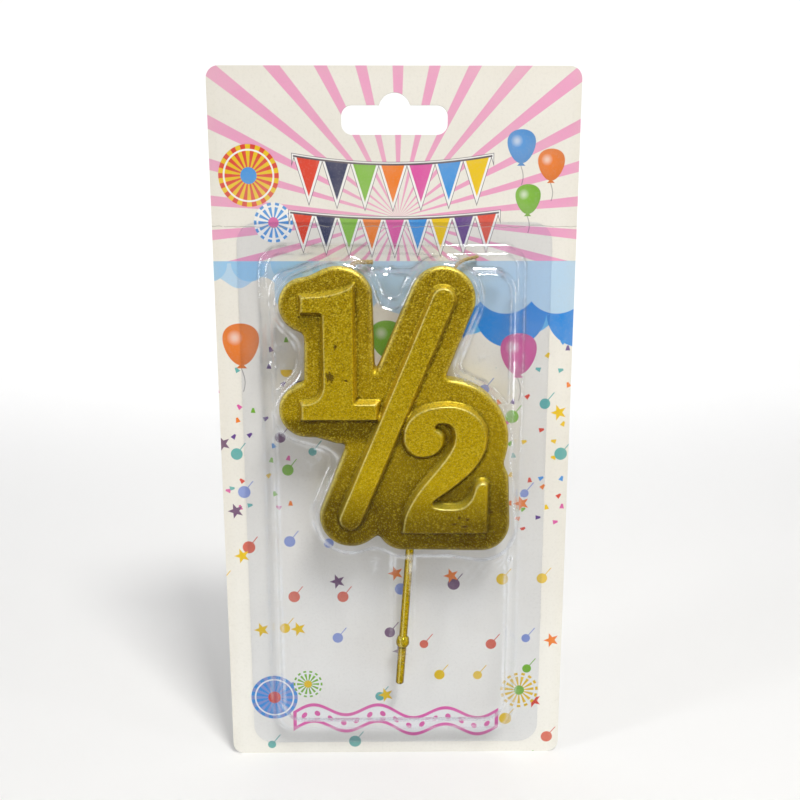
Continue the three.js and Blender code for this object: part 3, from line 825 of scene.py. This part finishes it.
def braid_tree():
    """Nodes that braid plies round a path."""
    tree = bpy.data.node_groups.new("braid", "GeometryNodeTree")
    sockets = {}
    for name, kind in (
            ("Path", "Geometry"), ("Plies", "Int"), ("Points", "Int"), ("Turns", "Float"),
            ("Spread", "Float"), ("Ply Radius", "Float"), ("Finish", "Material")):
        sockets[name] = tree.interface.new_socket(
            name, in_out="INPUT", socket_type="NodeSocket" + kind)
    tree.interface.new_socket("Braid", in_out="OUTPUT", socket_type="NodeSocketGeometry")
    entry = tree.nodes.new("NodeGroupInput")

    def add(kind, settings=None, **links):
        node = tree.nodes.new(kind)
        for name, value in (settings or {}).items():
            setattr(node, name, value)
        for key, value in links.items():
            socket = node.inputs[int(key[1:]) if key[0] == "_" else key.replace("__", " ")]
            if isinstance(value, bpy.types.NodeSocket):
                tree.links.new(value, socket)
            else:
                socket.default_value = value
        return node

    def given(name):
        return entry.outputs[name]

    def work(operation, a, b):
        return add("ShaderNodeMath", {"operation": operation}, _0=a, _1=b).outputs[0]

    def stretch(vector, amount):
        return add(
            "ShaderNodeVectorMath", {"operation": "SCALE"}, _0=vector, Scale=amount).outputs[0]

    resample = add("GeometryNodeResampleCurve", Curve=given("Path"), Count=given("Points"))
    plies = add(
        "GeometryNodeDuplicateElements", {"domain": "SPLINE"},
        Geometry=resample.outputs[0], Amount=given("Plies"))
    factor = add("GeometryNodeSplineParameter").outputs["Factor"]
    lead = work("DIVIDE", plies.outputs["Duplicate Index"], given("Plies"))
    turned = work("ADD", work("MULTIPLY", factor, given("Turns")), lead)
    angle = work("MULTIPLY", turned, 2 * math.pi)
    aside = work("MULTIPLY", work("SINE", angle, 0.0), given("Spread"))
    deep = work("MULTIPLY", work("SINE", work("MULTIPLY", angle, 2.0), 0.0), given("Spread"))
    normal = add("GeometryNodeInputNormal").outputs[0]
    tangent = add("GeometryNodeInputTangent").outputs[0]
    binormal = add(
        "ShaderNodeVectorMath", {"operation": "CROSS_PRODUCT"}, _0=tangent, _1=normal).outputs[0]
    offset = add(
        "ShaderNodeVectorMath", {"operation": "ADD"},
        _0=stretch(normal, aside), _1=stretch(binormal, work("MULTIPLY", deep, 0.55)))
    moved = add("GeometryNodeSetPosition", Geometry=plies.outputs[0], Offset=offset.outputs[0])
    section = add("GeometryNodeCurvePrimitiveCircle", Radius=given("Ply Radius"), Resolution=8)
    tube = add(
        "GeometryNodeCurveToMesh", Curve=moved.outputs[0], Profile__Curve=section.outputs[0],
        Fill__Caps=True)
    smooth = add("GeometryNodeSetShadeSmooth", Geometry=tube.outputs[0])
    real = add("GeometryNodeRealizeInstances", Geometry=smooth.outputs[0])
    coated = add("GeometryNodeSetMaterial", Geometry=real.outputs[0], Material=given("Finish"))
    leave = tree.nodes.new("NodeGroupOutput")
    tree.links.new(coated.outputs[0], leave.inputs[0])
    return tree, {name: socket.identifier for name, socket in sockets.items()}


# The braid: the step of its points, the length of a turn, how far its plies swing, their radius
BRAID_STEP, BRAID_TURN, BRAID_SPREAD, PLY_RADIUS = 0.3, 3.6, 0.39, 0.33


def braided_wick(name, tree, keys, points, length, material):
    """A wick of three plies along a path, as a plain mesh."""
    path = wick_path(points)
    braid = path.modifiers.new("braid", "NODES")
    braid.node_group = tree
    for key, value in (
            ("Plies", 3), ("Points", round(length / BRAID_STEP)), ("Turns", length / BRAID_TURN),
            ("Spread", BRAID_SPREAD * MM), ("Ply Radius", PLY_RADIUS * MM),
            ("Finish", material)):
        braid[keys[key]] = value
    graph = bpy.context.evaluated_depsgraph_get()
    mesh = bpy.data.meshes.new_from_object(path.evaluated_get(graph))
    bpy.data.objects.remove(path)
    mesh.name = name
    piece = bpy.data.objects.new(name, mesh)
    SCENE.collection.objects.link(piece)
    return piece


# The pick: where it enters the wax, its lean, its sizes, and its bead's middle and half height
PICK_X, PICK_LEAN, PICK_SIDES = 4.4, math.radians(4.1), 32
PICK_RADIUS, PICK_CHAMFER, PICK_FREE, PICK_CAST = 1.25, 0.25, 44.9, 24.0
BEAD_UP, BEAD_HALF, BEAD_RISE = -31.0, 1.6, 0.73


def pick_piece(material):
    """The pick, turned round its own axis, with a stop bead squeezed out of round."""
    # Rings from the tip up: the stem, the bead, the upper stem and the end in the wax
    tip = PICK_RADIUS - PICK_CHAMFER
    stations = [(-PICK_FREE, 0.0), (-PICK_FREE, tip), (PICK_CHAMFER - PICK_FREE, PICK_RADIUS)]
    stations += [(-44.0 + 0.5 * i, PICK_RADIUS) for i in range(21)]
    for i in range(13):
        angle = math.pi * i / 12
        stations.append((
            BEAD_UP - BEAD_HALF * math.cos(angle), PICK_RADIUS + BEAD_RISE * math.sin(angle)))
    stations += [(-29.0 + 2.0 * i, PICK_RADIUS) for i in range(27)]
    stations += [(PICK_CAST, tip), (PICK_CAST, 0.0)]
    points, faces = [], []
    for up, radius in stations:
        for i in range(PICK_SIDES):
            angle = 2 * math.pi * i / PICK_SIDES
            swell = 0.05 * math.sin(3 * angle + up) + 0.03 * math.sin(5 * angle - 2 * up)
            bead = max(0.0, radius - PICK_RADIUS) / 0.75
            reach = radius * (1 + swell * bead - 0.012 * math.sin(2 * angle + up * 0.4))
            aside, ahead = math.cos(angle) * reach, -math.sin(angle) * reach
            points.append((
                PICK_X + aside * math.cos(PICK_LEAN) + up * math.sin(PICK_LEAN),
                ahead - PLAQUE_MIDDLE,
                CANDLE_BOTTOM + up * math.cos(PICK_LEAN) - aside * math.sin(PICK_LEAN)))
    for ring in range(len(stations) - 1):
        for i in range(PICK_SIDES):
            a, b = ring * PICK_SIDES + i, ring * PICK_SIDES + (i + 1) % PICK_SIDES
            faces.append((a, a + PICK_SIDES, b + PICK_SIDES, b))
    piece = mesh_piece("gold_pick", points, faces, material)
    merge_close(piece.data, 0.001, outwards=True)
    piece.data.shade_smooth()
    return piece


# Pieces on their bodies

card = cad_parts["backing_card"]
card.data.materials.clear()
card.data.materials.append(card_print())

blister = blister_piece(clear_sheet())
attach(blister, "blister")
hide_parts("blister_shell")

wax = wax_piece(gold_paint("gold_wax", 1.0, 0.0))
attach(wax, "candle")
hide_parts("wax_body")

pick = pick_piece(gold_paint("gold_pick", 0.35, 1.0))
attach(pick, "candle")
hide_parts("pick")

cotton = wick_cotton()
braid, braid_keys = braid_tree()
WICK_ONE = (
    (-12.6, 46.3, WICK_HEIGHT), (-12.6, 64.3, WICK_HEIGHT), (-12.6, 82.3, WICK_HEIGHT),
    (-12.2, 83.6, 3.1), (-10.9, 84.2, 2.2), (-8.8, 84.2, 1.6), (-6.4, 84.2, 1.2))
slash = Vector((SLASH_HEAD[0] - SLASH_FOOT[0], SLASH_HEAD[1] - SLASH_FOOT[1])).normalized()
leave = (SLASH_HEAD[0] + slash.x * SLASH_RADIUS, SLASH_HEAD[1] + slash.y * SLASH_RADIUS)
WICK_SLASH = tuple(
    [(leave[0] - slash.x * deep, leave[1] - slash.y * deep, WICK_HEIGHT)
     for deep in (60, 30, 0)]
    + [(leave[0] + x, leave[1] + up, height) for x, up, height in (
        (0.9, 1.3, 2.9), (2.7, 2.3, 2.1), (5, 3, 1.5), (7.0, 3.4, 1.2))])
for name, node, points, length in (
        ("braided_wick_one", "wick_one", WICK_ONE, 44.0),
        ("braided_wick_slash", "wick_slash", WICK_SLASH, 68.0)):
    wick = braided_wick(name, braid, braid_keys, points, length, cotton)
    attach(wick, "candle")
    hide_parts(node)


# Floor, light and camera

def area_light(name, place, aim, size, power, colour=(1, 1, 1), spread=180):
    """A soft rectangular light, in metres, that points at a place, with its spread in degrees."""
    lamp = bpy.data.lights.new(name, "AREA")
    lamp.shape = "RECTANGLE"
    lamp.size, lamp.size_y = size
    lamp.energy = power
    lamp.color = colour
    lamp.spread = math.radians(spread)
    light = bpy.data.objects.new(name, lamp)
    light.location = place
    light.rotation_mode = "QUATERNION"
    light.rotation_quaternion = (Vector(aim) - Vector(place)).to_track_quat("-Z", "Y")
    SCENE.collection.objects.link(light)


# The floor is round and sweeps up into a wall: its radius, the sweep's, the wall's height, and
# the number of its sides and of the sweep's steps
FLOOR_RADIUS, SWEEP, WALL_TOP, FLOOR_SIDES, SWEEP_STEPS = 1300, 900, 2400, 64, 12

floor_material, _, floor_feed = finish("pale_floor")
floor_feed("Base Color", paint(240, 240, 240))
floor_feed("Roughness", 0.9)
sweep_line = [(FLOOR_RADIUS, 0)]
sweep_line += [
    (FLOOR_RADIUS + SWEEP * math.sin(a), SWEEP * (1 - math.cos(a)))
    for a in np.linspace(0, math.pi / 2, SWEEP_STEPS + 1)[1:]]
sweep_line.append((FLOOR_RADIUS + SWEEP, WALL_TOP))
around = np.linspace(0, 2 * math.pi, FLOOR_SIDES, endpoint=False)
floor_points = [
    (reach * math.cos(a), reach * math.sin(a), CARD_BOTTOM + up)
    for reach, up in sweep_line for a in around]
floor_faces = [tuple(range(FLOOR_SIDES))]
for ring in range(len(sweep_line) - 1):
    for i in range(FLOOR_SIDES):
        a, b = ring * FLOOR_SIDES + i, ring * FLOOR_SIDES + (i + 1) % FLOOR_SIDES
        floor_faces.append((a, a + FLOOR_SIDES, b + FLOOR_SIDES, b))
floor = mesh_piece("floor", floor_points, floor_faces, floor_material)

world = bpy.data.worlds.new("studio")
SCENE.world = world
world.use_nodes = True
background = node_of(world.node_tree, "BACKGROUND")
background.inputs["Color"].default_value = (1.0, 1.0, 1.0, 1.0)
background.inputs["Strength"].default_value = 0.15

middle = (0.0, 0.0, -0.1)
area_light("key", (0.14, -0.3, 0.42), middle, (0.14, 0.12), 3.0, (1.0, 0.985, 0.95))
area_light("left_window", (-0.5, -0.25, 0.12), middle, (0.08, 0.4), 0.7)
area_light("right_strip", (0.45, -0.2, -0.05), middle, (0.04, 0.5), 0.35)
area_light("backdrop", (0.0, 0.55, 1.25), (0.0, 1.6, 0.3), (2.6, 1.0), 25.0, spread=150)

# The camera that was fitted to the photograph: its place in millimetres and angles in radians
CAMERA_PLACE, CAMERA_LENS = (-0.484, -212.458, -52.5), 32.4
PITCH, YAW, ROLL = 0.16184, 0.00914, -0.0012

camera_data = bpy.data.cameras.new("camera")
camera_data.sensor_width = 36
camera_data.lens = CAMERA_LENS
camera = bpy.data.objects.new("camera", camera_data)
SCENE.collection.objects.link(camera)
forward = Vector((
    math.sin(YAW) * math.cos(PITCH), math.cos(YAW) * math.cos(PITCH), -math.sin(PITCH)))
level_right = Vector((math.cos(YAW), -math.sin(YAW), 0))
level_up = level_right.cross(forward)
right = math.cos(ROLL) * level_right + math.sin(ROLL) * level_up
up = math.cos(ROLL) * level_up - math.sin(ROLL) * level_right
turn = Matrix((right, up, -forward)).transposed().to_4x4()
camera.matrix_world = Matrix.Translation(Vector(CAMERA_PLACE) * MM) @ turn
camera_data.clip_start, camera_data.clip_end = 0.01, 20
SCENE.camera = camera

SCENE.view_settings.view_transform = "Standard"
SCENE.view_settings.look = "None"
